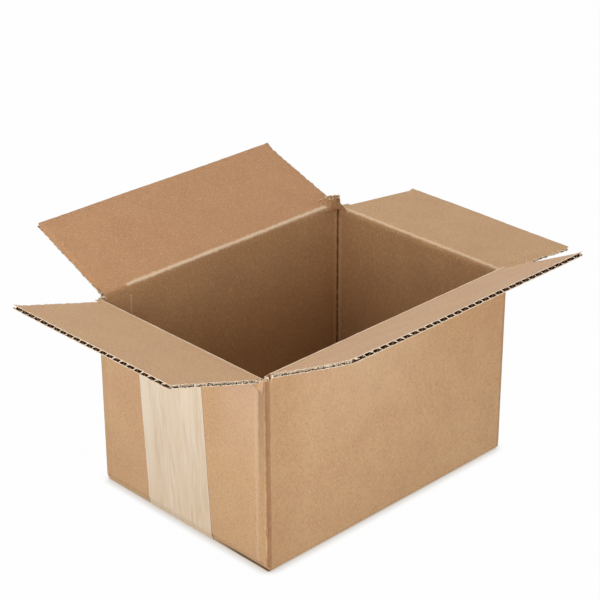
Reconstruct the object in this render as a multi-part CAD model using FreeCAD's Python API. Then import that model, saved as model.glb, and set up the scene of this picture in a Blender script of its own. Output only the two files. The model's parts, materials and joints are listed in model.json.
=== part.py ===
import FreeCAD, Part
import math
import os

# A regular slotted shipping box of single-wall corrugated board, set up and taped below, with
# its four top flaps standing open. X runs along the long side, Y across it and Z up. The origin
# is at the middle of the underside. All sizes are millimetres and all angles are degrees.

os.makedirs("parts", exist_ok=True)
Vec = FreeCAD.Vector

# Corrugated board
board = 3.9              # whole thickness
liner = 0.55             # each flat facing sheet
medium = 0.45            # fluted sheet, where it lies on a liner
flute_pitch = 7.5        # crest to crest
flute_foot = 0.9         # half of the glue line between a crest and its liner
crest_half = 1.3         # half width of a channel where its crest starts to round over
crest_rise = 0.5         # height over which the crest rounds over

# Folded box, outside
length = 262.0
width = 188.0
height = 161.0           # underside of the board to the crease of the long flaps
flap_depth = 86.0        # crease to free edge, the same on all eight flaps
corner_radius = 3.0      # vertical folds, outside
corner_inside = 0.6      # vertical folds, inside
fold_radius = 3.0        # bottom folds, outside

# Slots and creases
slot_half = 4.5          # from an outside face to the side edge of a flap beside it
slot_taper = 2.5         # the side edges of a top flap draw in by this much at its free edge
slot_overcut = 1.5       # the top slots run this far below the long flaps' crease
leaf_inset = 2.0         # from an end wall's outside face to the side edge of a long bottom leaf
post_clear = 0.6         # the corner posts stop this far above the end walls' folds
score_band = 5.0         # the board thins from here towards its crease
scored_board = 1.6       # thickness left in the crease
crease_gap = 0.15        # half of the gap between a wall and its flap
side_gap = 0.3           # flap edge to the slot's side
leaf_gap = 0.3           # between leaves that lie on each other
seam_gap = 1.0           # between the two long leaves of the bottom
channel_stop = 2.0       # blind end of the channels, past the scored band

# Glued corner joint, inside the back wall at the left end
tab_width = 30.0
tab_board = 0.8          # the tab is crushed flat, and the shut end flap passes beside it
tab_slant = 2.0          # how far its cut ends slope
tab_clear = 0.5          # to the bottom leaves and the scored band

# Sealing tape under the bottom seam, up the left end and a little way up the right end
tape_width = 72.0
tape_thickness = 0.2
tape_offset = 4.0        # middle of the strip, towards the back wall
tape_lean = 8.0          # its top end on the left wall lies this much further back
tape_below_crease = 7.0  # from its top end up to the end flap's crease
tape_tail = 60.0         # height of its other end

# How far each flap leans out past upright
front_lean = 63.0
right_lean = 96.0
back_lean = 68.5
left_lean = 72.5

# Levels and spans worked out from the sizes above
floor_level = tape_thickness
rim = floor_level + height
end_rim = rim - board - leaf_gap
long_fold = floor_level
end_fold = floor_level + board + leaf_gap
wall_base = end_fold + 2 * board
long_span = length - 2 * slot_half
end_span = width - 2 * slot_half
leaf_span = length - 2 * leaf_inset
half_length = length / 2
half_width = width / 2


def place(shape, quarter, distance, level):
    """Carry a shape from the front's own frame to a side: out by distance, up, then round."""
    moved = shape.copy()
    moved.translate(Vec(0, -distance, level))
    moved.rotate(Vec(0, 0, 0), Vec(0, 0, 1), 90 * quarter)
    return moved


def prism(points, span):
    """Extrude a closed outline of (inward, up) points over a span along the crease."""
    corners = [Vec(-span / 2, inward, up) for inward, up in points]
    outline = Part.makePolygon(corners + corners[:1])
    return Part.Face(outline).extrude(Vec(span, 0, 0))


def swept_face(edges, span):
    """Extrude a closed loop of edges over a span along the crease."""
    return Part.Face(Part.Wire(edges)).extrude(Vec(span, 0, 0))


def block(x_low, x_high, y_low, y_high, z_low, z_high):
    """Upright block between two corners."""
    return Part.makeBox(x_high - x_low, y_high - y_low, z_high - z_low, Vec(x_low, y_low, z_low))


def rounded_block(half_x, half_y, radius, z_low, z_high):
    """Upright block with its four vertical edges rounded."""
    plain = block(-half_x, half_x, -half_y, half_y, z_low, z_high)
    upright = [edge for edge in plain.Edges if abs(edge.tangentAt(edge.FirstParameter).z) > 0.9]
    return plain.makeFillet(radius, upright)


def wall_tube(z_low, z_high):
    """The four walls as one folded tube."""
    outside = rounded_block(half_length, half_width, corner_radius, z_low, z_high)
    inside = rounded_block(half_length - board, half_width - board, corner_inside, z_low, z_high)
    return outside.cut(inside)


def corner_blocks(z_low, z_high):
    """Blocks over the four corners, as far in as the flaps' side edges."""
    blocks = []
    for x_way in (-1, 1):
        for y_way in (-1, 1):
            x_ends = sorted((x_way * (half_length - slot_half), x_way * (half_length + board)))
            y_ends = sorted((y_way * (half_width - slot_half), y_way * (half_width + board)))
            blocks.append(block(*x_ends, *y_ends, z_low, z_high))
    return Part.makeCompound(blocks)


def crease_cut(span):
    """What a scored crease takes off the top of a wall: it slopes in from the outside face."""
    top = 3 * board
    inside = board + tab_clear
    points = [(-board, top), (-board, -crease_gap), (0, -crease_gap)]
    points += [(scored_board, -scored_board - crease_gap), (board, -score_band)]
    points += [(inside, -score_band), (inside, top)]
    return prism(points, span)


def bottom_leaf(span, reach, level):
    """One bottom flap with the foot of its wall, bent on a rounded fold."""
    top = wall_base - level
    turn = fold_radius
    mid = turn * (1 - math.sqrt(0.5))
    start = -span / 2
    corners = [Vec(start, inward, up) for inward, up in
               ((turn, 0), (reach, 0), (reach, board), (board, board), (board, top), (0, top), (0, turn))]
    edges = [Part.makeLine(first, second) for first, second in zip(corners, corners[1:])]
    edges.append(Part.Arc(corners[-1], Vec(start, mid, mid), corners[0]).toShape())
    return swept_face(edges, span)


def glue_tab():
    """Tab from the left wall's edge, crushed and glued to the inside of the back wall."""
    low = end_fold + board + tab_clear
    high = rim - score_band - tab_clear
    near = -half_length + board - tab_clear
    far = -half_length + board + tab_width
    face = half_width - board
    corners = [Vec(near, face, low), Vec(far, face, low + tab_slant)]
    corners += [Vec(far, face, high - tab_slant), Vec(near, face, high)]
    outline = Part.makePolygon(corners + corners[:1])
    return Part.Face(outline).extrude(Vec(0, -tab_board, 0))


def channel(at, base, way):
    """Empty channel between the fluted sheet and the liner whose inner face is at base."""
    tall = board - 2 * liner - medium
    section = [(flute_pitch / 2 - flute_foot, 0), (crest_half, tall - crest_rise), (crest_half / 2, tall)]
    section += [(-across, rise) for across, rise in reversed(section)]
    low = score_band + channel_stop
    corners = [Vec(at + across, base + way * rise, low) for across, rise in section]
    outline = Part.makePolygon(corners + corners[:1])
    return Part.Face(outline).extrude(Vec(0, 0, flap_depth))


def channels(span):
    """All channels of a flap: they start by turns from the outer and the inner liner."""
    count = math.floor((span - 2 * liner) / flute_pitch)
    first = -(count - 1) * flute_pitch / 2
    outer = [channel(first + turn * flute_pitch, liner, 1) for turn in range(count)]
    between = first + flute_pitch / 2
    inner = [channel(between + turn * flute_pitch, board - liner, -1) for turn in range(count - 1)]
    return outer + inner


def flap_outline(root, edge):
    """A flap's cut outline, right through the board: it narrows from its root to its free edge."""
    corners = [Vec(-root / 2, 0, 0), Vec(root / 2, 0, 0)]
    corners += [Vec(edge / 2, 0, flap_depth), Vec(-edge / 2, 0, flap_depth)]
    outline = Part.makePolygon(corners + corners[:1])
    return Part.Face(outline).extrude(Vec(0, board, 0))


def upright_flap(wall_span):
    """A top flap standing over its crease: scored root, flat sheet, open channels at its edge."""
    root = wall_span - 2 * side_gap
    edge = root - 2 * slot_taper
    points = [(0, crease_gap), (scored_board, scored_board + crease_gap), (board, score_band)]
    points += [(board, flap_depth), (0, flap_depth)]
    sheet = prism(points, root).common(flap_outline(root, edge))
    return sheet.cut(channels(edge))


def open_flap(quarter, distance, level, wall_span, lean):
    """A top flap at its crease, leaning out past upright."""
    flap = upright_flap(wall_span)
    flap.rotate(Vec(0, 0, 0), Vec(1, 0, 0), lean)
    return place(flap, quarter, distance, level)


def box_body():
    """Walls, glued joint and the four folded bottom flaps: one sheet, folded as one piece."""
    posts = wall_tube(end_fold + post_clear, wall_base).common(corner_blocks(0, rim))
    outline = rounded_block(half_length, half_width, corner_radius, 0, wall_base)
    leaves = []
    for quarter in (0, 2):
        leaf = bottom_leaf(leaf_span, half_width - seam_gap / 2, long_fold)
        leaves.append(place(leaf, quarter, half_width, long_fold).common(outline))
    for quarter in (1, 3):
        leaf = bottom_leaf(end_span, flap_depth, end_fold)
        leaves.append(place(leaf, quarter, half_length, end_fold))
    body = wall_tube(wall_base, rim).fuse(leaves + [posts, glue_tab()])
    cuts = [corner_blocks(rim - slot_overcut, rim + board)]
    for quarter in (0, 2):
        cuts.append(place(crease_cut(long_span), quarter, half_width, rim))
    for quarter in (1, 3):
        cuts.append(place(crease_cut(end_span), quarter, half_length, end_rim))
    return body.cut(cuts).removeSplitter()


def tape_end(top):
    """Tape from the underside up an end: taut over the step, round the fold, flat up the wall."""
    step = end_fold - long_fold + fold_radius
    reach = math.hypot(leaf_inset - fold_radius, step)
    lean = math.atan2(leaf_inset - fold_radius, step) + math.asin(fold_radius / reach)
    across, down = math.cos(lean), math.sin(lean)
    start = -tape_width / 2 - tape_lean

    def on_fold(radius, angle):
        return Vec(start, fold_radius - radius * math.cos(angle), step - radius * math.sin(angle))

    outer_radius = fold_radius + tape_thickness
    lap = 2 * slot_half
    turn_in = leaf_inset - tape_thickness * across + tape_thickness * (1 - down) * down / across
    inner = [Vec(start, 0, top), on_fold(fold_radius, 0), on_fold(fold_radius, lean)]
    inner += [Vec(start, leaf_inset, 0), Vec(start, lap, 0)]
    outer = [Vec(start, -tape_thickness, top), on_fold(outer_radius, 0), on_fold(outer_radius, lean)]
    outer += [Vec(start, turn_in, -tape_thickness), Vec(start, lap, -tape_thickness)]
    edges = [Part.makeLine(inner[0], outer[0]), Part.makeLine(inner[4], outer[4])]
    for path, radius in ((inner, fold_radius), (outer, outer_radius)):
        edges.append(Part.makeLine(path[0], path[1]))
        edges.append(Part.Arc(path[1], on_fold(radius, lean / 2), path[2]).toShape())
        edges.append(Part.makeLine(path[2], path[3]))
        edges.append(Part.makeLine(path[3], path[4]))
    return swept_face(Part.__sortEdges__(edges), tape_width + 2 * tape_lean)


def tape_outline(top, lean, level):
    """The strip's outline seen from its end: straight below the fold, leaning above it."""
    edge = tape_width / 2
    bend = wall_base - level
    corners = [(-edge, -board), (edge, -board), (edge, bend), (edge + lean, top)]
    corners += [(-edge + lean, top), (-edge, bend)]
    points = [Vec(across, -board, up) for across, up in corners]
    outline = Part.makePolygon(points + points[:1])
    return Part.Face(outline).extrude(Vec(0, board + 3 * slot_half, 0))


def sealing_tape():
    """One strip that holds the bottom flaps shut."""
    strips = [block(-half_length + 1.5 * slot_half, half_length - 1.5 * slot_half,
                    tape_offset - tape_width / 2, tape_offset + tape_width / 2, 0, tape_thickness)]
    tops = ((3, end_rim - tape_below_crease, -tape_lean, -tape_offset), (1, tape_tail, 0, tape_offset))
    for quarter, top, lean, offset in tops:
        rise = top - long_fold
        strip = tape_end(rise).common(tape_outline(rise, lean, long_fold))
        strip.translate(Vec(offset, 0, 0))
        strips.append(place(strip, quarter, half_length, long_fold))
    return strips[0].fuse(strips[1:]).removeSplitter()


def main():
    """Write every piece to its own file."""
    pieces = {"box_body": box_body(), "sealing_tape": sealing_tape()}
    pieces["front_flap"] = open_flap(0, half_width, rim, long_span, front_lean)
    pieces["back_flap"] = open_flap(2, half_width, rim, long_span, back_lean)
    pieces["right_flap"] = open_flap(1, half_length, end_rim, end_span, right_lean)
    pieces["left_flap"] = open_flap(3, half_length, end_rim, end_span, left_lean)
    for name, shape in pieces.items():
        solids = shape.Solids
        print(name, len(solids), "solid", shape.isValid(), round(shape.Volume), "mm3", shape.BoundBox)
        solids[0].exportStep(f"parts/{name}.step")


main()
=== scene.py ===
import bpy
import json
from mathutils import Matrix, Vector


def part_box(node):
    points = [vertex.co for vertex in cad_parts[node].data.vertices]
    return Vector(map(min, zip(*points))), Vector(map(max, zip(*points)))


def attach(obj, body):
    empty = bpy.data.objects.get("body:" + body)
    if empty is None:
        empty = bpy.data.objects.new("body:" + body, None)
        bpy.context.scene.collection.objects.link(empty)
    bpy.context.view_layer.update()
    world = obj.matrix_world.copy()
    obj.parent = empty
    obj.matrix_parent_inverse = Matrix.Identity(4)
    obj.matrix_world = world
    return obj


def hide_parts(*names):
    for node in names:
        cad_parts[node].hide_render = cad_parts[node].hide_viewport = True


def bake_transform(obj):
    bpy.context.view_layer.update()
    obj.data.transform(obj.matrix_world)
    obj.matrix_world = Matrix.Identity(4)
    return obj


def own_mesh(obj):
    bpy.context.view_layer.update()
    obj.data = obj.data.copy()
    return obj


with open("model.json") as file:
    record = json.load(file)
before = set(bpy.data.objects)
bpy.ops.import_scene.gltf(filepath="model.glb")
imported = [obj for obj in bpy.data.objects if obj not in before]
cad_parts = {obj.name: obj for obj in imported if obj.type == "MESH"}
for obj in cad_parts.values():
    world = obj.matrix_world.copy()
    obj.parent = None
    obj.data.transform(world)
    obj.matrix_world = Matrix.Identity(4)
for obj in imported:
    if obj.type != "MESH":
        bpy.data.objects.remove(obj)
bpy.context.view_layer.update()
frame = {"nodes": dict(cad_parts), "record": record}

import json
import math

import bmesh
import bpy
from mathutils import Matrix, Vector, noise

# Walls and bottom: one sheet of unbleached single-wall corrugated board, slotted, scored and
# folded into a tube, glued down one corner and closed below. Its faces are kraft liner: matt,
# fibrous, faintly clouded between yellow and pink brown, with fine pale and dark flecks.

MM = 0.001
BOARD = 3.9 * MM
PITCH = 7.5 * MM
OUTSIDE = ("#D6AD80", "#CFA27A")
# The inside tones are browner than the outside's, and darkened further as painted shade for the inside of
# the box.
INSIDE = ("#B78E62", "#AE855E")
KRAFT_ROUGHNESS = 0.65
KRAFT_RELIEF = 0.25 * MM
DARK_FLECK = "#946A45"
PALE_FLECK = "#EBD3B4"
MID_HEIGHT = 75 * MM
LIT_END_REACH = 62 * MM
SHADED_REACH = 45 * MM
END_BAND = 9 * MM
LONG_BAND = 3.8 * MM
FOLD_RIDGE = 2.0 * MM
PALE_LINE = 11 * MM
FOLD_LINE = 3.6 * MM
BOTTOM_TOP = 4.2 * MM
BOTTOM_HOLLOW = 1.4 * MM
TAB_EDGE = -101 * MM
wall_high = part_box("box_body")[1]
HALF_LENGTH = wall_high.x
HALF_WIDTH = wall_high.y


def linear(code):
    """sRGB hex to linear RGBA."""
    parts = [int(code[i:i + 2], 16) / 255 for i in (1, 3, 5)]
    return [c / 12.92 if c <= 0.04045 else ((c + 0.055) / 1.055) ** 2.4 for c in parts] + [1.0]


def per(size_mm):
    """Texture scale whose features are about this many millimetres across."""
    return 1 / (size_mm * MM)


def add(tree, kind, inputs=None, **settings):
    """Add a node with its settings; an input takes a value, a hex colour or a link."""
    made = tree.nodes.new(kind)
    for key, value in settings.items():
        setattr(made, key, value)
    for key, value in (inputs or {}).items():
        if isinstance(value, bpy.types.NodeSocket):
            tree.links.new(value, made.inputs[key])
        else:
            made.inputs[key].default_value = linear(value) if isinstance(value, str) else value
    return made.outputs


def empty_material(name):
    """A material with no nodes yet, its tree, and object coordinates."""
    made = bpy.data.materials.new(name)
    made.use_nodes = True
    made.node_tree.nodes.clear()
    return made, made.node_tree, add(made.node_tree, "ShaderNodeTexCoord")["Object"]


def cloud(tree, where, size_mm, low, high, most=1.0, least=0.0):
    """Noise of about a size, cut between two levels and spread from least to most."""
    spots = add(tree, "ShaderNodeTexNoise", {"Vector": where, "Scale": per(size_mm), "Detail": 3.0})["Fac"]
    return add(tree, "ShaderNodeMapRange", {0: spots, 1: low, 2: high, 3: least, 4: most})[0]


def near(tree, value, reach, blur, most):
    """A band: the most below a reach, none past it, with a blurred edge."""
    return add(tree, "ShaderNodeMapRange", {0: value, 1: reach, 2: reach - blur, 4: most},
               interpolation_type="SMOOTHSTEP")[0]


def stripe(tree, value, middle, half, most):
    """A soft stripe: the most where a value is in the middle, none from half a width away."""
    away = add(tree, "ShaderNodeMath", {0: value, 1: middle}, operation="SUBTRACT")[0]
    away = add(tree, "ShaderNodeMath", {0: away}, operation="ABSOLUTE")[0]
    return near(tree, away, half, half, most)


def layered(tree, colour, layers):
    """Lay colours over a first one, each by its own share from 0 to 1."""
    for share, over in layers:
        colour = add(tree, "ShaderNodeMix", {0: share, 6: colour, 7: over}, data_type="RGBA")[2]
    return colour


def kraft_colour(tree, where, plain, pinkish):
    """Colour and relief of kraft liner: soft clouds, dark and pale flecks, fibrous grain."""
    shifted = add(tree, "ShaderNodeMapping", {0: where, 1: (0.31, 0.17, 0.05)})[0]
    colour = layered(tree, plain, ((cloud(tree, where, 24, 0.35, 0.68, 0.7), pinkish),
                                   (cloud(tree, where, 1.3, 0.54, 0.70, 0.40), DARK_FLECK),
                                   (cloud(tree, shifted, 1.1, 0.56, 0.72, 0.36), PALE_FLECK)))
    # Fibres, drawn about 1 mm across so that they show, lie a little along the sheet's height
    fibre = add(tree, "ShaderNodeMapping", {0: where, 3: (1.0, 1.0, 0.45)})[0]
    grain = cloud(tree, fibre, 1.1, 0.3, 0.7)
    shade = add(tree, "ShaderNodeMapRange", {0: grain, 3: 0.91, 4: 1.09})[0]
    colour = add(tree, "ShaderNodeVectorMath", {0: colour, 1: shade}, operation="MULTIPLY")[0]
    return colour, grain


def paper_shader(tree, colour, relief, roughness, depth):
    """Matt paper: diffuse with a weak wide gloss and a fine relief."""
    bump = add(tree, "ShaderNodeBump", {"Strength": 0.5, "Distance": depth, "Height": relief})[0]
    shader = add(tree, "ShaderNodeBsdfPrincipled",
                 {"Base Color": colour, "Roughness": roughness, "Normal": bump, "IOR": 1.45,
                  "Specular IOR Level": 0.5})[0]
    add(tree, "ShaderNodeOutputMaterial", {0: shader})


def past(tree, value, limit):
    """1 where a value's size is past a limit, else 0."""
    size = add(tree, "ShaderNodeMath", {0: value}, operation="ABSOLUTE")[0]
    return add(tree, "ShaderNodeMath", {0: size, 1: limit}, operation="GREATER_THAN")[0]


def product(tree, first, *others):
    """Several masks multiplied."""
    for other in others:
        first = add(tree, "ShaderNodeMath", {0: first, 1: other}, operation="MULTIPLY")[0]
    return first


def wall_material():
    """Kraft liner on the walls: yellower outside, browner inside and darkened there as painted shade, worked
    at the folds and cuts, with painted light and shade on parts of both faces.
    """
    made, tree, where = empty_material("kraft_board_walls")
    # Which face a point is on, and how far it is from the nearest upright fold
    x, y, z = add(tree, "ShaderNodeSeparateXYZ", {0: where})
    facing = add(tree, "ShaderNodeSeparateXYZ", {0: add(tree, "ShaderNodeNewGeometry")["True Normal"]})
    on_end, on_long, on_top = [past(tree, way, 0.7) for way in facing]
    x_size = add(tree, "ShaderNodeMath", {0: x}, operation="ABSOLUTE")[0]
    y_size = add(tree, "ShaderNodeMath", {0: y}, operation="ABSOLUTE")[0]
    from_end = add(tree, "ShaderNodeMath", {0: HALF_LENGTH, 1: x_size}, operation="SUBTRACT")[0]
    from_long = add(tree, "ShaderNodeMath", {0: HALF_WIDTH, 1: y_size}, operation="SUBTRACT")[0]
    from_fold = add(tree, "ShaderNodeMix", {0: on_end, 2: from_end, 3: from_long})[0]
    waver = cloud(tree, where, 6, 0.3, 0.7, 0.5 * MM, -0.5 * MM)
    from_fold = add(tree, "ShaderNodeMath", {0: from_fold, 1: waver}, operation="ADD")[0]

    # Shares by place on the box: high, low, far, and towards the near fold on either wall
    upper = add(tree, "ShaderNodeMapRange", {0: z, 1: 40 * MM, 2: 140 * MM, 3: 0.1, 4: 1.0})[0]
    front_end = add(tree, "ShaderNodeMapRange", {0: y, 1: 0.0, 2: -20 * MM, 3: 0.2, 4: 1.0})[0]
    left_end = add(tree, "ShaderNodeMapRange", {0: x, 1: 0.0, 2: -20 * MM, 3: 0.35, 4: 1.0})[0]
    high = add(tree, "ShaderNodeMapRange", {0: z, 1: MID_HEIGHT, 2: 158 * MM})[0]
    low = add(tree, "ShaderNodeMapRange", {0: z, 1: MID_HEIGHT, 2: 0.0})[0]
    far = add(tree, "ShaderNodeMapRange", {0: x, 1: 20 * MM, 2: 130 * MM})[0]
    near_part = add(tree, "ShaderNodeMath", {0: 1.0, 1: far}, operation="SUBTRACT")[0]
    warm_high = add(tree, "ShaderNodeMapRange", {0: z, 1: 40 * MM, 2: 150 * MM, 3: 0.02, 4: 0.28})[0]

    # Outside: painted light makes it paler near the top and on the upper end wall by the near fold; painted
    # shade darkens it near the floor and on the long walls towards the near fold; warmer at the far end
    outside, relief = kraft_colour(tree, where, *OUTSIDE)
    painted_highlight = product(tree, stripe(tree, x, -30 * MM, 110 * MM, 0.4), high)
    painted_light_end = product(tree, near(tree, from_fold, LIT_END_REACH, 30 * MM, 0.36), on_end, front_end, high)
    painted_shade_low = product(tree, low, near_part, 0.18)
    shaded = product(tree, near(tree, from_fold, SHADED_REACH, 42 * MM, 0.22), on_long, left_end)
    warm = product(tree, far, on_long, warm_high)
    # The crushed fold: a brown band on each side of it, a browner ridge, a pale line, and a dark line of
    # painted shade in its groove
    end_band = product(tree, near(tree, from_fold, END_BAND, 1.4 * MM, 0.55), on_end, front_end, upper)
    long_band = product(tree, near(tree, from_fold, LONG_BAND, 1.2 * MM, 0.6), on_long, left_end)
    ridge_line = near(tree, from_fold, FOLD_RIDGE, 0.8 * MM, 0.6)
    pale = product(tree, stripe(tree, from_fold, PALE_LINE, 2.2 * MM, 0.3), on_end, front_end)
    line = product(tree, stripe(tree, from_fold, FOLD_LINE, 0.8 * MM, 0.35), on_long)
    outside = layered(tree, outside, ((painted_highlight, "#F3D3AE"), (painted_light_end, "#EDCDB6"), (painted_shade_low, "#A87E54"),
                                      (shaded, "#A8784A"), (warm, "#C58E58"), (end_band, "#8C6238"),
                                      (long_band, "#8A5C38"), (ridge_line, "#8A5C38"),
                                      (pale, "#E6C9AB"), (line, "#7E4E26")))

    # Inside: painted shade, darker towards the bottom; at each fold a painted highlight on a soft ridge and
    # painted shade in the corner; the tab's cut edge
    inside, _ = kraft_colour(tree, where, *INSIDE)
    ridge = stripe(tree, from_fold, BOARD + 3.2 * MM, 1.8 * MM, 0.4)
    corner_shade = stripe(tree, from_fold, BOARD + 0.3 * MM, 1.0 * MM, 0.9)
    tab_edge = product(tree, stripe(tree, x, TAB_EDGE, 0.9 * MM, 0.8), high)
    deep = add(tree, "ShaderNodeMapRange", {0: z, 1: 110 * MM, 2: 0.0, 4: 0.35})[0]
    inside = layered(tree, inside, ((deep, "#86673F"), (ridge, "#DDB58E"), (corner_shade, "#45230B"),
                                    (tab_edge, "#E3BE97")))

    # Cut edges: speckled pale tops of the corner posts, and the open ends of the bottom's board, whose flute
    # hollows near the front are painted dark as shade
    depth = add(tree, "ShaderNodeMath", {0: from_end, 1: from_long}, operation="MINIMUM")[0]
    above = add(tree, "ShaderNodeMath", {0: z, 1: BOTTOM_TOP}, operation="GREATER_THAN")[0]
    below = add(tree, "ShaderNodeMath", {0: 1.0, 1: above}, operation="SUBTRACT")[0]
    within = product(tree, past(tree, depth, BOARD / 2), above)
    post_top = product(tree, on_top, past(tree, z, wall_high.z - 3 * MM))
    bottom_edge = product(tree, on_end, below)
    front_part = add(tree, "ShaderNodeMapRange", {0: y, 1: -25 * MM, 2: -60 * MM})[0]
    hollow = product(tree, stripe(tree, z, BOTTOM_HOLLOW, 2.2 * MM, 1.0), bottom_edge, front_part)
    mottle = product(tree, cloud(tree, where, 1.1, 0.45, 0.55), post_top)
    colour = layered(tree, outside, ((within, inside), (post_top, "#EAD6B8"), (mottle, "#8A6742"),
                                     (bottom_edge, "#C9A67E"), (hollow, "#4A2C16")))

    # Relief: the flutes show faintly through the liner, and the painted shade line is also a groove
    along = add(tree, "ShaderNodeMix", {0: on_end, 2: x, 3: y})[0]
    turns = add(tree, "ShaderNodeMath", {0: along, 1: 2 * math.pi / PITCH}, operation="MULTIPLY")[0]
    ribs = add(tree, "ShaderNodeMath", {0: turns}, operation="COSINE")[0]
    relief = add(tree, "ShaderNodeMath", {0: ribs, 1: 0.10, 2: relief}, operation="MULTIPLY_ADD")[0]
    relief = add(tree, "ShaderNodeMath", {0: line, 1: -1.0, 2: relief}, operation="MULTIPLY_ADD")[0]
    paper_shader(tree, colour, relief, KRAFT_ROUGHNESS, KRAFT_RELIEF)
    return made


walls = frame["nodes"]["box_body"]
walls.data.materials.clear()
walls.data.materials.append(wall_material())


# Top flaps: the same sheet past its scored creases. Each is an outer and an inner kraft liner
# with a fluted sheet glued between them. The free edge is cut across the flutes and shows their
# mouths. The two side edges were punched along the flutes: crushed, torn and fuzzy.

FLAP_DEPTH = 86 * MM
FLAP_TAPER = 2.5 * MM
FLAP_BOARD = 3.4 * MM  # pressed thinner than new by handling
SCORE_BAND = 5 * MM
SCORED = 1.6 * MM
LINER = 0.55 * MM
FLUTING = 0.3 * MM
WAVE_POINTS = 16.0
FLUTE_ROWS = 24
TORN_BACK = 5 * MM
BURR = 0.8 * MM
DULL_BURR = 0.4
BURR_WAY = {"front_flap": 1.0, "back_flap": 1.0, "right_flap": -1.0, "left_flap": -1.0}
STEP = 1.1 * MM
WIDE_STEP = 2.2 * MM
WORN = 7 * MM
BOW = 0.6 * MM
SHUT_CRUSH = 0.72
# Side edges, in millimetres: how far in the tear and the crushing reach, and how deep it goes
TEAR_FADE = 1.2
CRUSH_FADE = 2.2
SHUT_FADE = 1.7
SQUASH = 3.3
SQUASH_LESS = 2.9
# How far each flap's side edges gape open, at the start and at the end of its crease
GAPE = {"front_flap": (1.0, 0.4), "back_flap": (0.3, 0.0), "right_flap": (0.2, 0.0), "left_flap": (0.1, 1.0)}
# Each flap's inner liner is the same board; its tone is painted to how light and sheen fall on that flap:
# the back flap darker and browner, the others paler.
FLAP_TONES_PAINTED_LIGHT = {"front_flap": ("#CFA982", "#C99F7C"), "back_flap": ("#BB8B60", "#B4835B"),
              "right_flap": ("#C79E72", "#BF946A"), "left_flap": ("#CBA479", "#C59B76")}
joints = {joint["child"]: joint for joint in frame["record"]["behaviour"]["joints"]}


def crease_frame(joint, leaning):
    """Frame on a crease: X along it, Y inwards through the board, Z up the wall or the flap."""
    along = Vector(joint["axis"])
    inward = Vector((0, 0, 1)).cross(along)
    turn = Matrix((along, inward, (0, 0, 1))).transposed().to_4x4()
    lean = math.radians(-90 - joint["range_deg"][0]) if leaning else 0.0
    return Matrix.Translation(joint["pos_m"]) @ turn @ Matrix.Rotation(lean, 4, "X")


def crease_half(joint):
    """Half the length of a flap's root, from its node's box."""
    along = Vector(joint["axis"])
    return max(abs(corner.dot(along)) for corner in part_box(joint["child"]))


def wander(a, b, c):
    """Smooth noise between -1 and 1."""
    return noise.noise(Vector((a, b, c)))


def spread(low, high, step):
    """Evenly spaced values from low to high, about a step apart."""
    count = max(2, round((high - low) / step))
    return [low + (high - low) * i / count for i in range(count + 1)]


def graded(low, high):
    """Values from low to high: close together by both ends, wider apart between them."""
    return spread(low, low + WORN, STEP)[:-1] + spread(low + WORN, high - WORN, WIDE_STEP) + \
        spread(high - WORN, high, STEP)[1:]


def new_object(name, mesh):
    """An object at the origin with its place in its mesh."""
    made = bpy.data.objects.new(name, mesh)
    bpy.context.scene.collection.objects.link(made)
    return made


def closed_sheet(name, columns, rows, point, materials):
    """A thin closed sheet: point(column, row, face) places both faces. Slots: front, rim, back."""
    wide, tall = len(columns), len(rows)
    verts = [point(c, r, face) for face in (0, 1) for r in rows for c in columns]
    faces, slots = [], []
    for row in range(tall - 1):
        for col in range(wide - 1):
            a = row * wide + col
            b = wide * tall + a
            faces += [(a, a + 1, a + wide + 1, a + wide), (b, b + wide, b + wide + 1, b + 1)]
            slots += [0, 2]
    rim = [(0, col) for col in range(wide)] + [(row, wide - 1) for row in range(1, tall)]
    rim += [(tall - 1, col) for col in reversed(range(wide - 1))]
    rim += [(row, 0) for row in range(tall - 2, 0, -1)]
    ring = [row * wide + col for row, col in rim]
    for a, b in zip(ring, ring[1:] + ring[:1]):
        faces.append((b, a, a + wide * tall, b + wide * tall))
        slots.append(1)
    mesh = bpy.data.meshes.new(name)
    mesh.from_pydata(verts, [], faces)
    mesh.polygons.foreach_set("material_index", slots)
    mesh.polygons.foreach_set("use_smooth", [slot != 1 for slot in slots])
    solid = bmesh.new()
    solid.from_mesh(mesh)
    bmesh.ops.recalc_face_normals(solid, faces=solid.faces)
    solid.to_mesh(mesh)
    solid.free()
    for material in materials:
        mesh.materials.append(material)
    return new_object(name, mesh)


def bow(x, up):
    """How far a flap's board bends out of its plane."""
    return BOW * wander(x / (70 * MM), up / (60 * MM), 3.7) * min(1.0, up / (20 * MM))


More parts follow.
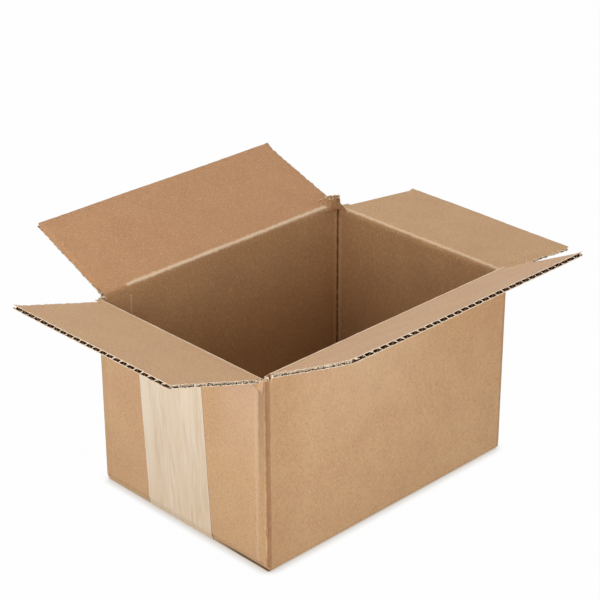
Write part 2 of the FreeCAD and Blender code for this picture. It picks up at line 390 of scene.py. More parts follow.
def liner_sheet(joint, name, inner, seed, materials):
    """One kraft liner of a flap, with wavering cut edges and crushed, torn side edges."""
    half = crease_half(joint)
    rows = spread(0.4 * MM, FLAP_DEPTH, STEP)
    columns = [x / half for x in graded(-half, half)]
    gape = GAPE[joint["child"]]

    def point(across, up, face):
        width = half - FLAP_TAPER * up / FLAP_DEPTH
        x = across * width
        side = math.copysign(1, across)
        from_side = (width - abs(x)) / MM
        from_end = (FLAP_DEPTH - up) / MM
        tear = math.exp(-from_side / TEAR_FADE)
        open_here = gape[side > 0]
        worn = math.exp(-from_side / CRUSH_FADE) if open_here else math.exp(-(from_side / SHUT_FADE) ** 2)
        shred = wander(up / (1.7 * MM), side * 7, seed) + 0.7 * wander(up / (0.8 * MM), side * 3, seed)
        bite = max(0.0, wander(up / (5 * MM), side * 9, seed + 7) - 0.15)
        x += side * tear * MM * (0.5 * shred - 1.6 * bite)
        trim = 0.16 * MM * wander(x / (4 * MM), seed, 2.0) + 0.10 * MM * wander(x / (1.5 * MM), seed, 8.0)
        z = up + math.exp(-from_end / 1.5) * trim
        crush = worn * (0.45 + 0.75 * abs(wander(up / (7 * MM), side, seed)))
        if open_here == 0.0:
            crush = worn * SHUT_CRUSH
        rise = min(1.0, max(0.0, up - SCORED) / (SCORE_BAND - SCORED))
        squash = (SQUASH - SQUASH_LESS * open_here) * MM * min(1.0, from_end / 6)
        level = SCORED + (FLAP_BOARD - SCORED) * rise - squash * crush * rise
        if not inner:
            level = LINER + 0.5 * MM * crush * rise * open_here
        if open_here > 0.0:
            level += tear * (0.25 + 0.6 * open_here) * MM * wander(up / (1.9 * MM), side * 5, seed + 4)
        level += 0.16 * MM * wander(x / (6 * MM), 5.0, seed) * math.exp(-from_end / 5)
        level += bow(x, up)
        return Vector((x, level if face == 0 else level - LINER, z))

    made = closed_sheet(name, columns, rows, point, materials)
    made.data.transform(crease_frame(joint, True))
    return made


def flap_face_material(name, plain, pinkish):
    """Kraft liner on a flap's face: matt and fibrous like the walls, in the tones it is given."""
    made, tree, where = empty_material(name)
    colour, relief = kraft_colour(tree, where, plain, pinkish)
    paper_shader(tree, colour, relief, KRAFT_ROUGHNESS, KRAFT_RELIEF)
    return made


def fuzzy_paper(name, low, high, size_mm, depth):
    """Paper stock that isn't a finished face: two tones of pulp, with its fuzz as relief."""
    made, tree, where = empty_material(name)
    fuzz = cloud(tree, where, size_mm, 0.38, 0.62)
    paper_shader(tree, layered(tree, low, ((fuzz, high),)), fuzz, 0.9, depth)
    return made


def fluting_tree(paper, cut, torn):
    """Geometry Nodes: a sheet pressed into even waves, torn unevenly at its sides, with a burr."""
    tree = bpy.data.node_groups.new("fluted_sheet", "GeometryNodeTree")
    face = tree.interface
    face.new_socket("Geometry", in_out="OUTPUT", socket_type="NodeSocketGeometry")
    for label in ("Span", "Start", "Run", "Board", "Liner", "Pitch", "Sheet", "Tear", "Burr", "Burr way"):
        face.new_socket(label, in_out="INPUT", socket_type="NodeSocketFloat")
    given = add(tree, "NodeGroupInput")
    columns = add(tree, "ShaderNodeMath", {0: given["Span"], 1: given["Pitch"]}, operation="DIVIDE")[0]
    columns = add(tree, "ShaderNodeMath", {0: columns, 1: WAVE_POINTS}, operation="MULTIPLY")[0]
    grid = add(tree, "GeometryNodeMeshGrid", {"Size X": given["Span"], "Size Y": given["Run"],
                                              "Vertices X": columns, "Vertices Y": FLUTE_ROWS})["Mesh"]

    # Waves with flattened crests, where the sheet is glued to the liners
    spot = add(tree, "GeometryNodeInputPosition")[0]
    place = add(tree, "ShaderNodeSeparateXYZ", {0: spot})
    turns = add(tree, "ShaderNodeMath", {0: place[0], 1: given["Pitch"]}, operation="DIVIDE")[0]
    turns = add(tree, "ShaderNodeMath", {0: turns, 1: 2 * math.pi}, operation="MULTIPLY")[0]
    wave = add(tree, "ShaderNodeMath", {0: turns}, operation="COSINE")[0]
    wave = add(tree, "ShaderNodeMapRange", {0: wave, 1: -0.8, 2: 0.8, 3: -1.0, 4: 1.0})[0]
    hollow = add(tree, "ShaderNodeMath", {0: given["Liner"], 1: -2.0, 2: given["Board"]},
                 operation="MULTIPLY_ADD")[0]
    swing = add(tree, "ShaderNodeMath", {0: hollow, 1: given["Sheet"]}, operation="SUBTRACT")[0]
    swing = add(tree, "ShaderNodeMath", {0: swing, 1: 0.5}, operation="MULTIPLY")[0]
    middle = add(tree, "ShaderNodeMath", {0: given["Board"], 1: given["Sheet"]}, operation="ADD")[0]
    middle = add(tree, "ShaderNodeMath", {0: middle, 1: 0.5}, operation="MULTIPLY")[0]
    level = add(tree, "ShaderNodeMath", {0: wave, 1: swing, 2: middle}, operation="MULTIPLY_ADD")[0]

    # Torn sides: the sheet is drawn in by an uneven share of the tear
    fray = cloud(tree, spot, 3, 0.3, 0.7)
    fray = add(tree, "ShaderNodeMath", {0: fray, 1: given["Tear"]}, operation="MULTIPLY")[0]
    fray = add(tree, "ShaderNodeMath", {0: fray, 1: given["Span"]}, operation="DIVIDE")[0]
    narrow = add(tree, "ShaderNodeMath", {0: 1.0, 1: fray}, operation="SUBTRACT")[0]
    x = add(tree, "ShaderNodeMath", {0: place[0], 1: narrow}, operation="MULTIPLY")[0]
    half_run = add(tree, "ShaderNodeMath", {0: given["Run"], 1: 0.5, 2: given["Start"]},
                   operation="MULTIPLY_ADD")[0]
    z = add(tree, "ShaderNodeMath", {0: place[1], 1: half_run}, operation="ADD")[0]
    target = add(tree, "ShaderNodeCombineXYZ", {0: x, 1: level, 2: z})[0]
    bent = add(tree, "GeometryNodeSetPosition", {"Geometry": grid, "Position": target})[0]

    # Thickness, with the burr that the knife drags out on one flank, stopped by the outer liner
    slope = add(tree, "ShaderNodeMath", {0: turns}, operation="SINE")[0]
    slope = add(tree, "ShaderNodeMath", {0: slope, 1: given["Burr way"]}, operation="MULTIPLY")[0]
    other = add(tree, "ShaderNodeMath", {0: slope, 1: -DULL_BURR}, operation="MULTIPLY")[0]
    ragged = add(tree, "ShaderNodeMath", {0: slope, 1: other}, operation="MAXIMUM")[0]
    depth = add(tree, "ShaderNodeMath", {0: ragged, 1: given["Burr"], 2: given["Sheet"]},
                operation="MULTIPLY_ADD")[0]
    room = add(tree, "ShaderNodeMath", {0: place[1], 1: given["Liner"]}, operation="SUBTRACT")[0]
    depth = add(tree, "ShaderNodeMath", {0: depth, 1: room}, operation="MINIMUM")[0]
    burred = add(tree, "ShaderNodeMath", {0: slope, 1: 0.3}, operation="GREATER_THAN")[0]
    captured = tree.nodes.new("GeometryNodeCaptureAttribute")
    captured.domain = "POINT"
    captured.capture_items.new("FLOAT", "Burred")
    tree.links.new(bent, captured.inputs[0])
    tree.links.new(burred, captured.inputs[1])
    down = add(tree, "ShaderNodeVectorMath", {0: (0, -1, 0), "Scale": depth}, operation="SCALE")[0]
    thick = add(tree, "GeometryNodeExtrudeMesh",
                {"Mesh": captured.outputs[0], "Offset": down, "Offset Scale": 1.0, "Individual": False})

    # Finishes: paper on both faces, a cut edge all round, torn pulp where the edge is burred
    edge = thick["Side"]
    bright = add(tree, "ShaderNodeMath", {0: captured.outputs[1], 1: edge}, operation="MULTIPLY")[0]
    front = add(tree, "GeometryNodeSetMaterial", {"Geometry": thick["Mesh"], "Material": paper})[0]
    front = add(tree, "GeometryNodeSetMaterial",
                {"Geometry": front, "Selection": edge, "Material": cut})[0]
    front = add(tree, "GeometryNodeSetMaterial",
                {"Geometry": front, "Selection": bright, "Material": torn})[0]
    back = add(tree, "GeometryNodeFlipFaces", {"Mesh": bent})[0]
    back = add(tree, "GeometryNodeSetMaterial", {"Geometry": back, "Material": paper})[0]
    both = tree.nodes.new("GeometryNodeJoinGeometry")
    tree.links.new(front, both.inputs[0])
    tree.links.new(back, both.inputs[0])
    sealed = add(tree, "GeometryNodeMergeByDistance",
                 {"Geometry": both.outputs[0], "Distance": 0.001 * MM})[0]
    add(tree, "NodeGroupOutput", {0: add(tree, "GeometryNodeRealizeInstances", {"Geometry": sealed})[0]})
    return tree


def grow(name, tree, values, source=None):
    """Run a Geometry Nodes tree on an object and keep its result as a plain mesh."""
    made = new_object(name, source or bpy.data.meshes.new(name + "_start"))
    step = made.modifiers.new("grow", "NODES")
    step.node_group = tree
    for item in tree.interface.items_tree:
        if item.name in values:
            step[item.identifier] = values[item.name]
    bpy.context.view_layer.update()
    evaluated = made.evaluated_get(bpy.context.evaluated_depsgraph_get())
    mesh = bpy.data.meshes.new_from_object(evaluated)
    mesh.name = name
    made.modifiers.clear()
    made.data = mesh
    return made


# Torn pulp is pale and fluffy. The fluting is recycled paper, darker than the liners, and darker still as
# painted shade inside the flutes. The liners' hidden, glued side is painted dark as the shade it lies in. A
# cut edge lies between them. The outer face is clean.
pulp = fuzzy_paper("torn_kraft_pulp", "#D9B892", "#FAEEDA", 1.2, 0.4 * MM)
hidden_side_shade = fuzzy_paper("liner_glue_side", "#3A1E0C", "#55331B", 1.5, 0.3 * MM)
fluting_paper_and_shade = fuzzy_paper("recycled_fluting_paper", "#40220F", "#603A20", 1.3, 0.3 * MM)
flute_cut = fuzzy_paper("cut_fluting_edge", "#7A5230", "#A87C54", 1.3, 0.2 * MM)
outer_face = flap_face_material("kraft_liner_outside", *OUTSIDE)
waves = fluting_tree(fluting_paper_and_shade, flute_cut, pulp)

for number, (flap, joint) in enumerate(joints.items()):
    seed = 11.3 * number + 2.9
    inner_face = flap_face_material(flap + "_kraft_liner", *FLAP_TONES_PAINTED_LIGHT[flap])
    inner = liner_sheet(joint, flap + "_inner_liner", True, seed, [inner_face, pulp, hidden_side_shade])
    outer = liner_sheet(joint, flap + "_outer_liner", False, seed + 5.1, [hidden_side_shade, pulp, outer_face])
    span = 2 * (crease_half(joint) - FLAP_TAPER) - 3.0 * MM
    run = FLAP_DEPTH - SCORE_BAND - 0.1 * MM
    fluting = grow(flap + "_fluting", waves,
                   {"Span": span, "Start": SCORE_BAND, "Run": run, "Board": FLAP_BOARD, "Liner": LINER,
                    "Pitch": PITCH, "Sheet": FLUTING, "Tear": TORN_BACK, "Burr": BURR,
                    "Burr way": BURR_WAY[flap]})
    for vertex in fluting.data.vertices:
        vertex.co.y += bow(vertex.co.x, vertex.co.z)
    fluting.data.transform(crease_frame(joint, True))
    for piece in (inner, outer, fluting):
        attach(piece, flap)
    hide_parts(flap)


# Torn fringe: where the slots were punched, the board tears into small curled chips of pale
# pulp. They hang on along the flaps' side edges and stand on the tops of the corner posts.

CHIP = (1.7 * MM, 0.22 * MM, 0.8 * MM)
CHIP_SPACING = 0.85 * MM
ROOT_CHIPS = 14
ROOT_HIGH = 4 * MM
POST_DEPTH = 1.3 * MM
TUFT_HIGH = 1.8 * MM
# The left end's two posts carry a tuft each: its way out in X and Y, and how far in it stands
TUFTS = ((-1, 1, 4.4 * MM), (-1, -1, 2.4 * MM))


def chip_tree(material):
    """Geometry Nodes: a small curled chip on each point, turned and sized at random."""
    tree = bpy.data.node_groups.new("torn_chips", "GeometryNodeTree")
    face = tree.interface
    face.new_socket("Geometry", in_out="INPUT", socket_type="NodeSocketGeometry")
    for label in ("Length", "Thickness", "Breadth", "Stray"):
        face.new_socket(label, in_out="INPUT", socket_type="NodeSocketFloat")
    face.new_socket("Seed", in_out="INPUT", socket_type="NodeSocketInt")
    face.new_socket("Geometry", in_out="OUTPUT", socket_type="NodeSocketGeometry")
    given = add(tree, "NodeGroupInput")
    seed = given["Seed"]
    size = add(tree, "ShaderNodeCombineXYZ",
               {0: given["Length"], 1: given["Thickness"], 2: given["Breadth"]})[0]
    chip = add(tree, "GeometryNodeMeshCube",
               {"Size": size, "Vertices X": 4, "Vertices Y": 2, "Vertices Z": 2})["Mesh"]
    along = add(tree, "ShaderNodeSeparateXYZ", {0: add(tree, "GeometryNodeInputPosition")[0]})[0]
    share = add(tree, "ShaderNodeMath", {0: along, 1: given["Length"]}, operation="DIVIDE")[0]
    curl = add(tree, "ShaderNodeMath", {0: share, 1: share}, operation="MULTIPLY")[0]
    curl = add(tree, "ShaderNodeMath", {0: curl, 1: given["Length"]}, operation="MULTIPLY")[0]
    curl = add(tree, "ShaderNodeCombineXYZ", {1: curl})[0]
    chip = add(tree, "GeometryNodeSetPosition", {"Geometry": chip, "Offset": curl})[0]
    shift = add(tree, "FunctionNodeRandomValue", {0: (-1, -1, -1), 1: (1, 1, 1), "Seed": seed},
                data_type="FLOAT_VECTOR")[0]
    shift = add(tree, "ShaderNodeVectorMath", {0: shift, "Scale": given["Stray"]}, operation="SCALE")[0]
    points = add(tree, "GeometryNodeSetPosition", {"Geometry": given["Geometry"], "Offset": shift})[0]
    turn = add(tree, "FunctionNodeRandomValue", {0: (-3, -3, -3), 1: (3, 3, 3), "Seed": seed},
               data_type="FLOAT_VECTOR")[0]
    scale = add(tree, "FunctionNodeRandomValue", {0: (0.35, 0.6, 0.35), 1: (1.2, 1.2, 1.2), "Seed": seed},
                data_type="FLOAT_VECTOR")[0]
    placed = add(tree, "GeometryNodeInstanceOnPoints",
                 {"Points": points, "Instance": chip, "Rotation": turn, "Scale": scale})[0]
    real = add(tree, "GeometryNodeRealizeInstances", {"Geometry": placed})[0]
    finished = add(tree, "GeometryNodeSetMaterial", {"Geometry": real, "Material": material})[0]
    add(tree, "NodeGroupOutput", {0: finished})
    return tree


def chips(name, tree, points, body, seed, stray, size=1.0):
    """Chips on a list of points, carried by a body."""
    source = bpy.data.meshes.new(name + "_start")
    source.from_pydata(points, [], [])
    values = {"Length": size * CHIP[0], "Thickness": CHIP[1], "Breadth": size * CHIP[2],
              "Stray": stray, "Seed": seed}
    made = grow(name, tree, values, source)
    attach(made, body)
    return made


pale_chips = chip_tree(pulp)
for number, (flap, joint) in enumerate(joints.items()):
    points = []
    roots = []
    for side, open_here in zip((-1, 1), GAPE[flap]):
        for step in range(ROOT_CHIPS):
            inset = (0.3 + 2.2 * abs(wander(step * 1.3, side * 2, number + 0.5))) * MM
            level = 0.15 + 0.8 * abs(wander(step * 0.9, side * 3, number + 7.5))
            up = 0.6 * MM + ROOT_HIGH * abs(wander(step * 1.1, side * 4, number + 3.5))
            roots.append(Vector((side * (crease_half(joint) - inset), level * FLAP_BOARD, up)))
        if open_here == 0.0:
            continue
        for up in spread(2 * MM, FLAP_DEPTH - 1 * MM, CHIP_SPACING / (0.35 + open_here)):
            width = crease_half(joint) - FLAP_TAPER * up / FLAP_DEPTH
            sway = wander(up / (6 * MM), side * 4, number * 3.3)
            toss = wander(up / (0.9 * MM), side * 6, number * 5.1)
            level = 0.3 + open_here * (0.2 + 0.15 * sway + 0.45 * toss)
            inset = (0.8 + 0.5 * sway) * MM
            points.append(Vector((side * (width - inset), level * FLAP_BOARD, up)))
    points = [crease_frame(joint, True) @ point for point in points]
    roots = [crease_frame(joint, True) @ point for point in roots]
    chips(flap + "_fringe", pale_chips, points, flap, 5 + number, 0.45 * MM, 1.15)
    chips(flap + "_torn_roots", pale_chips, roots, flap, 15 + number, 0.4 * MM, 1.3)
post_top = wall_high.z - POST_DEPTH
for number, (x_way, y_way) in enumerate(((-1, -1), (1, -1), (1, 1), (-1, 1))):
    points = []
    for share in spread(0, 1, 0.07):
        x = HALF_LENGTH - (1.0 + 3.2 * share) * MM
        y = HALF_WIDTH - (4.2 - 3.2 * share) * MM
        points.append(Vector((x_way * x, y_way * y, post_top)))
    chips(f"post_{number + 1}_fringe", pale_chips, points, "box", 31 + number, 0.6 * MM)
for number, (x_way, y_way, inset) in enumerate(TUFTS):
    middle = Vector((x_way * (HALF_LENGTH - inset), y_way * (HALF_WIDTH - inset), post_top))
    tuft = [middle + Vector((0, 0, rise)) for rise in spread(0, TUFT_HIGH, TUFT_HIGH / 10)]
    chips(f"post_tuft_{number + 1}", pale_chips, tuft, "box", 53 + number, 1.4 * MM, 1.3)


# Torn leaf: a scrap of inner liner that the slot's punch left standing round the far corner. It is thin
# crumpled paper, torn off ragged at its top and still joined to the corner post.

LEAF_BACK = 15 * MM
LEAF_SIDE = 9 * MM
LEAF_BEND = 0.12
LEAF_FOOT = 2.5 * MM
LEAF_TALL = 10.8 * MM
LEAF_LEAN = 1.1
LEAF_CRUMPLE = 3.2 * MM
LEAF_THICK = 0.4 * MM
torn_liner = flap_face_material("torn_inner_liner", "#B0865B", "#A57B52")
leaf_corner = Vector((HALF_LENGTH - BOARD - 0.4 * MM, HALF_WIDTH - BOARD - 0.4 * MM, wall_high.z))


def torn_leaf(way, share, face):
    """A point of the leaf: its way round the corner from -1 to 1, its share of the height, its face."""
    bend = math.hypot(way, LEAF_BEND)
    x = leaf_corner.x - LEAF_BACK * (bend - way) / 2
    y = leaf_corner.y - LEAF_SIDE * (bend + way) / 2
    # It is tall along the back wall and falls away quickly past the corner
    fall = min(1.0, max(0.0, way - LEAF_BEND) / 0.2)
    hump = (1 - 0.1 * max(0.0, way + 0.5)) * (1 - fall) + 0.5 * fall * (1 - way)
    ragged = 0.7 * MM * wander(way * 15, 0.4, 1.0)
    tall = LEAF_TALL * hump * (1 + 0.12 * wander(way * 5.5, 2.0, 4.1)) + ragged
    rise = (LEAF_FOOT + tall) * share
    above = max(0.0, rise - LEAF_FOOT)
    lean = LEAF_LEAN * max(0.0, -way) ** 2
    z = leaf_corner.z + min(0.0, rise - LEAF_FOOT) + above * math.cos(lean)
    folded = abs(wander(way * 5, above / (4.5 * MM), 7.3)) - 0.25
    y += above * math.sin(lean) + LEAF_CRUMPLE * min(1.0, above / (5 * MM)) * folded
    thick = LEAF_THICK * (1 - face)
    return Vector((x - thick, y - thick, z))


leaf = closed_sheet("far_post_torn_leaf", spread(-1, 1, 0.04), spread(0, 1, 0.05), torn_leaf,
                    [torn_liner, pulp, torn_liner])
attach(leaf, "box")
curls = [torn_leaf(way, 1 - 0.4 * abs(wander(way * 9, 1.0, 3.0)), 0) for way in spread(-0.8, 0.15, 0.04)]
leaf_curls = chips("far_post_curls", pale_chips, curls, "box", 61, 0.7 * MM, 1.2)
for piece in (leaf, leaf_curls):
    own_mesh(piece)


# Torn flake: a tongue of outer liner, peeled by the punch, that hangs off the end wall's top
# edge beside the near fold. It is plain kraft paper, widest at the fold and curling outwards.

FLAKE_START = 2.5 * MM
FLAKE_LONG = 17 * MM
FLAKE_DEEP = 9 * MM
FLAKE_CURL = 1.4 * MM
FLAKE_THICK = 0.35 * MM


def torn_flake(along, share, face):
    """A point of the flake: its share along the wall, its share of the way down, its face."""
    y = -HALF_WIDTH + FLAKE_START + FLAKE_LONG * along
    top = wall_high.z - 1.2 * MM
    deep = FLAKE_DEEP * (1 - along) + 0.6 * MM + 0.5 * MM * wander(along * 8, 1.0, 5.0)
    proud = 0.3 * MM + FLAKE_CURL * share + 0.4 * MM * wander(along * 5, share, 9.0)
    return Vector((-HALF_LENGTH - proud + face * FLAKE_THICK, y, top - deep * share))


flake = closed_sheet("near_post_torn_flake", spread(0, 1, 0.05), spread(0, 1, 0.15), torn_flake,
                     [outer_face, pulp, pulp])
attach(flake, "box")


# Creases: at each top fold the inner liner runs on from wall to flap over a narrow ridge, and the outer
# liner folds in, with the scored board crushed between them. The ridge is a little fuzzy, and its pale line
# is a painted highlight.

STRIP_PROUD = 0.12 * MM
STRIP_THICK = 0.25 * MM
STRIP_REACH = 6.5 * MM
RIDGE_REACH = 1.2 * MM
CORE_INSET = 1.0 * MM
CORE_INNER = ((BOARD - 0.4 * MM, 3 * MM), (BOARD - 0.4 * MM, -RIDGE_REACH))
CORE_OUTER = ((0.4 * MM, 3 * MM), (0.4 * MM, 0.3 * MM))
# The painted highlight line on each inner liner: its middle past the ridge, half its width, its strength
RIDGE_HIGHLIGHT = {"front_flap": (3.0 * MM, 3.6 * MM, 1.0), "back_flap": (0.5 * MM, 2.8 * MM, 0.62),
          "right_flap": (0.5 * MM, 2.2 * MM, 0.45), "left_flap": (1.8 * MM, 2.0 * MM, 1.0)}


def smoothed(points, times):
    """Cut the corners of a path, as a folded sheet does."""
    for _ in range(times):
        cut = [points[0]]
        for a, b in zip(points, points[1:]):
            cut += [a.lerp(b, 0.25), a.lerp(b, 0.75)]
        points = cut + [points[-1]]
    return points


def crease_path(joint, profile):
    """Points across a crease. A profile's pairs are the way inwards and the way off the crease."""
    wall, flap = crease_frame(joint, False), crease_frame(joint, True)
    path = [wall @ Vector((0, inward, -up)) for inward, up in profile]
    path += [flap @ Vector((0, inward * FLAP_BOARD / BOARD, up)) for inward, up in reversed(profile)]
    return smoothed(path, 3)


def fold_over(piece, joint):
    """Bake a crease piece's place into its mesh; its start and end on the crease are found but not used."""
    start = crease_frame(joint, False) @ Vector((0, BOARD / 2, -3 * MM))
    end = crease_frame(joint, True) @ Vector((0, BOARD / 2, 3 * MM))
    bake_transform(piece)


def crease_core(joint, name):
    """The crushed board between a crease's two liners."""
    sheets = crease_path(joint, CORE_INNER), crease_path(joint, CORE_OUTER)
    along = Vector(joint["axis"])
    half = crease_half(joint) - CORE_INSET

    def point(x, row, face):
        return sheets[face][row] + along * x

    rows = list(range(len(sheets[0])))
    made = closed_sheet(name, spread(-half, half, 6 * MM), rows, point, [flute_cut] * 3)
    fold_over(made, joint)


def crease_strip(joint, name, profile, outward, material, seed):
    """A strip of liner over a crease, with each point's way past the ridge as an attribute."""
    along = Vector(joint["axis"])
    half = crease_half(joint)
    path = crease_path(joint, profile)
    last = len(path) - 1
    sides = []
    for i in range(len(path)):
        tangent = path[min(i + 1, last)] - path[max(i - 1, 0)]
        sides.append(along.cross(tangent).normalized() * outward)
    columns = spread(-half, half, STEP)

    def point(x, row, face):
        fuzz = 0.07 * MM * wander(x / (1.6 * MM), row * 0.45, seed)
        fuzz += 0.16 * MM * wander(x / (9 * MM), row * 0.2, seed)
        fuzz *= math.sin(math.pi * row / last)
        lift = fuzz if face == 0 else fuzz - STRIP_THICK
        return path[row] + along * x + sides[row] * lift

    made = closed_sheet(name, columns, list(range(len(path))), point, [material] * 3)
    travelled = [0.0]
    for a, b in zip(path, path[1:]):
        travelled.append(travelled[-1] + (b - a).length)
    past_ridge = [way - travelled[-1] / 2 for way in travelled for _ in columns]
    made.data.attributes.new("past_ridge", "FLOAT", "POINT").data.foreach_set("value", past_ridge * 2)
    fold_over(made, joint)


def crease_material(name, wall_tones, flap_tones, middle, half, most, only_past=-1.0):
    """Kraft liner at the crease: a pale painted highlight line on the ridge, where x is past a limit."""
    made, tree, where = empty_material(name)
    way = add(tree, "ShaderNodeAttribute", attribute_name="past_ridge")["Fac"]
    on_flap = add(tree, "ShaderNodeMapRange", {0: way, 1: -1.5 * MM, 2: 1.5 * MM})[0]
    wall_colour, relief = kraft_colour(tree, where, *wall_tones)
    flap_colour, _ = kraft_colour(tree, where, *flap_tones)
    waver = cloud(tree, where, 3.5, 0.3, 0.7, 0.5 * MM, -0.5 * MM)
    wavering = add(tree, "ShaderNodeMath", {0: way, 1: waver}, operation="ADD")[0]
    x = add(tree, "ShaderNodeSeparateXYZ", {0: where})[0]
    here = add(tree, "ShaderNodeMapRange", {0: x, 1: only_past, 2: only_past + 4 * MM})[0]
    painted_highlight = product(tree, stripe(tree, wavering, middle, half, most), here)
    colour = layered(tree, wall_colour, ((on_flap, flap_colour), (painted_highlight, "#F6DFC0")))
    relief = add(tree, "ShaderNodeMath", {0: painted_highlight, 1: relief}, operation="ADD")[0]
    paper_shader(tree, colour, relief, KRAFT_ROUGHNESS, 0.3 * MM)
    return made


outer_crease = crease_material("creased_kraft_outside", OUTSIDE, OUTSIDE, 0.0, 1.0 * MM, 0.5)
inner_profile = [(BOARD + STRIP_PROUD, STRIP_REACH), (BOARD + STRIP_PROUD, -RIDGE_REACH)]
outer_profile = [(-STRIP_PROUD, 4 * MM), (-1.5 * STRIP_PROUD, 0.3 * MM)]
for number, (flap, joint) in enumerate(joints.items()):
    side = flap.replace("_flap", "")
    # On the back crease the painted highlight starts past the glue tab
    only_past = TAB_EDGE - 4 * MM if flap == "back_flap" else -1.0
    inner_crease = crease_material(side + "_creased_kraft", INSIDE, FLAP_TONES_PAINTED_LIGHT[flap],
                                   *RIDGE_HIGHLIGHT[flap], only_past)
    crease_strip(joint, side + "_crease_inner_liner", inner_profile, -1, inner_crease, 3.1 + number)
    crease_strip(joint, side + "_crease_outer_liner", outer_profile, 1, outer_crease, 7.7 + number)
    crease_core(joint, side + "_crease_board")


# Sealing tape: one strip of pale paper tape over the bottom seam and up both ends. It has a slight sheen and
# soft streaks along its length, painted highlights along its edges and a painted shadow line at one side,
# and painted light and shade that make it paler at the top and darker at the bottom.

TAPE_HALF = 36 * MM
TAPE_MIDDLE = 4 * MM
TAPE_LEAN = 8 * MM
TAPE_BEND = 12.2 * MM
tape_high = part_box("sealing_tape")[1]


def tape_material():
    """Pale paper tape: soft streaks along its length, a fine grain, painted highlights on its edges and
    painted light and shade from top to bottom.
    """
    made, tree, where = empty_material("pale_paper_tape")
    x, y, z = add(tree, "ShaderNodeSeparateXYZ", {0: where})
    on_left = add(tree, "ShaderNodeMath", {0: x, 1: 0.0}, operation="LESS_THAN")[0]
    lean = add(tree, "ShaderNodeMapRange", {0: z, 1: TAPE_BEND, 2: tape_high.z, 4: TAPE_LEAN})[0]
    middle = add(tree, "ShaderNodeMath", {0: lean, 1: on_left, 2: TAPE_MIDDLE}, operation="MULTIPLY_ADD")[0]
    across = add(tree, "ShaderNodeMath", {0: y, 1: middle}, operation="SUBTRACT")[0]
    sway = cloud(tree, where, 30, 0.3, 0.7, 1.0 * MM, -1.0 * MM)
    swayed = add(tree, "ShaderNodeMath", {0: across, 1: sway}, operation="ADD")[0]
    strip = add(tree, "ShaderNodeCombineXYZ", {0: x, 1: swayed, 2: z})[0]
    strip = add(tree, "ShaderNodeMapping", {0: strip, 3: (0.1, 1.0, 0.07)})[0]
    fine = cloud(tree, strip, 2.6, 0.3, 0.7)
    grain = cloud(tree, where, 1.5, 0.3, 0.7)
    edge = add(tree, "ShaderNodeMath", {0: across}, operation="ABSOLUTE")[0]
    # Painted light and shade: paler towards the top, darker towards the bottom.
    high = add(tree, "ShaderNodeMapRange", {0: z, 1: 70 * MM, 2: tape_high.z, 4: 0.6})[0]
    low = add(tree, "ShaderNodeMapRange", {0: z, 1: 80 * MM, 2: 0.0, 4: 0.5})[0]
    creased = product(tree, stripe(tree, cloud(tree, strip, 11, 0.3, 0.7), 0.5, 0.12, 0.3), on_left)
    # The pale stripes along both edges are painted highlights, and the dark line at one side a painted
    # shadow.
    colour = layered(tree, "#E8D2B6", ((cloud(tree, strip, 14, 0.38, 0.62), "#F1DFC8"),
                                       (high, "#FAEACF"), (low, "#D8BB95"), (creased, "#CDB08A"),
                                       (cloud(tree, strip, 2.6, 0.45, 0.65, 0.35), "#F4E6D3"),
                                       (cloud(tree, where, 1.6, 0.60, 0.72, 0.3), "#F8ECDC"),
                                       (stripe(tree, edge, TAPE_HALF, 1.6 * MM, 0.6), "#FBF0E0"),
                                       (stripe(tree, across, -TAPE_HALF, 0.5 * MM, 0.8), "#8E7048")))
    relief = add(tree, "ShaderNodeMath", {0: fine, 1: grain}, operation="ADD")[0]
    relief = add(tree, "ShaderNodeMath", {0: creased, 1: -2.0, 2: relief}, operation="MULTIPLY_ADD")[0]
    paper_shader(tree, colour, relief, 0.6, 0.14 * MM)
    return made


tape = frame["nodes"]["sealing_tape"]
tape.data.materials.clear()
tape.data.materials.append(tape_material())


# Studio: a white sweep that runs out of view, soft light from the left, the front, above and
# behind, and the camera where the photograph was taken. None of this is part of the box.

FLOOR_SIZE = 8.0
CAMERA_PLACE = (-0.9202, -0.9388, 0.7860)
CAMERA_AZIMUTH = -44.245
CAMERA_ELEVATION = 25.937
CAMERA_ROLL = -0.176
CAMERA_LENS = 112.94


def seen_directly(tree, share):
    """The given share for rays that show a surface: straight to the camera, in gloss or glass."""
    path = add(tree, "ShaderNodeLightPath")
    seen = path["Is Camera Ray"]
    for other in ("Is Glossy Ray", "Is Transmission Ray"):
        seen = add(tree, "ShaderNodeMath", {0: seen, 1: path[other]}, operation="MAXIMUM")[0]
    return product(tree, seen, share)


def floor_material():
    """White paper sweep: a white glow for the camera, with a painted soft shadow where the box stands over a
    faint real one.
    """
    made, tree, _ = empty_material("white_sweep")
    own = add(tree, "ShaderNodeBsdfDiffuse", {"Color": "#A8A8A8"})[0]
    # Near the box the glow darkens with ambient occlusion: a painted contact shadow.
    open_air = add(tree, "ShaderNodeAmbientOcclusion", {"Distance": 10 * MM}, samples=12)["AO"]
    open_air = add(tree, "ShaderNodeMapRange", {0: open_air, 1: 0.15, 2: 0.85})[0]
    shade = layered(tree, "#B9A996", ((open_air, "#FFFFFF"),))
    glow = add(tree, "ShaderNodeEmission", {"Color": shade, "Strength": 1.0})[0]
    mixed = add(tree, "ShaderNodeMixShader", {0: seen_directly(tree, 0.985), 1: own, 2: glow})[0]
    add(tree, "ShaderNodeOutputMaterial", {0: mixed})
    return made


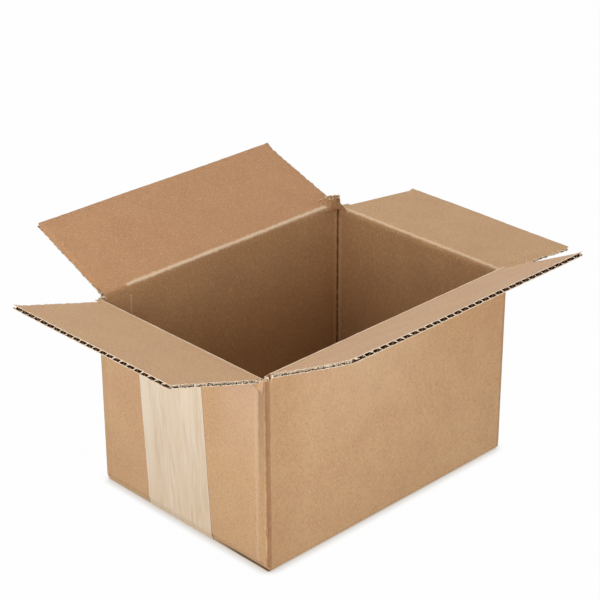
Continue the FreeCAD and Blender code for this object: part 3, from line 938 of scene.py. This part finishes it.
floor_mesh = bpy.data.meshes.new("floor")
reach = FLOOR_SIZE / 2
floor_mesh.from_pydata([(-reach, -reach, 0), (reach, -reach, 0), (reach, reach, 0), (-reach, reach, 0)],
                       [], [(0, 1, 2, 3)])
floor_mesh.materials.append(floor_material())
new_object("floor", floor_mesh)

world = bpy.data.worlds.new("studio")
bpy.context.scene.world = world
world.use_nodes = True
sky = world.node_tree
sky.nodes.clear()
ambient = add(sky, "ShaderNodeBackground", {"Color": "#FFFFFF", "Strength": 0.46})[0]
backdrop = add(sky, "ShaderNodeBackground", {"Color": "#FFFFFF", "Strength": 1.0})[0]
chosen = add(sky, "ShaderNodeMixShader", {0: seen_directly(sky, 1.0), 1: ambient, 2: backdrop})[0]
add(sky, "ShaderNodeOutputWorld", {0: chosen})


def soft_lamp(name, place, size, power):
    """A square soft box that points at the box."""
    data = bpy.data.lights.new(name, "AREA")
    data.shape = "SQUARE"
    data.size = size
    data.energy = power
    lamp = bpy.data.objects.new(name, data)
    lamp.location = place
    lamp.rotation_euler = (Vector((0, 0, 0.08)) - Vector(place)).to_track_quat("-Z", "Y").to_euler()
    lamp.visible_camera = False
    bpy.context.scene.collection.objects.link(lamp)


soft_lamp("left_softbox", (-1.1, -0.25, 0.36), 0.7, 5.0)
soft_lamp("front_softbox", (-0.45, -1.25, 0.4), 0.7, 6.9)
soft_lamp("top_softbox", (0.0, 0.0, 2.0), 1.6, 7.4)
soft_lamp("back_softbox", (0.3, 1.5, 1.6), 1.2, 8.4)

camera_data = bpy.data.cameras.new("camera")
camera_data.lens = CAMERA_LENS
camera_data.sensor_width = 36
camera = bpy.data.objects.new("camera", camera_data)
turn = Matrix.Rotation(math.radians(CAMERA_AZIMUTH), 4, "Z")
turn = turn @ Matrix.Rotation(math.radians(90 - CAMERA_ELEVATION), 4, "X")
turn = turn @ Matrix.Rotation(math.radians(CAMERA_ROLL), 4, "Z")
camera.matrix_world = Matrix.Translation(CAMERA_PLACE) @ turn
bpy.context.scene.collection.objects.link(camera)
bpy.context.scene.camera = camera
bpy.context.scene.view_settings.view_transform = "Standard"
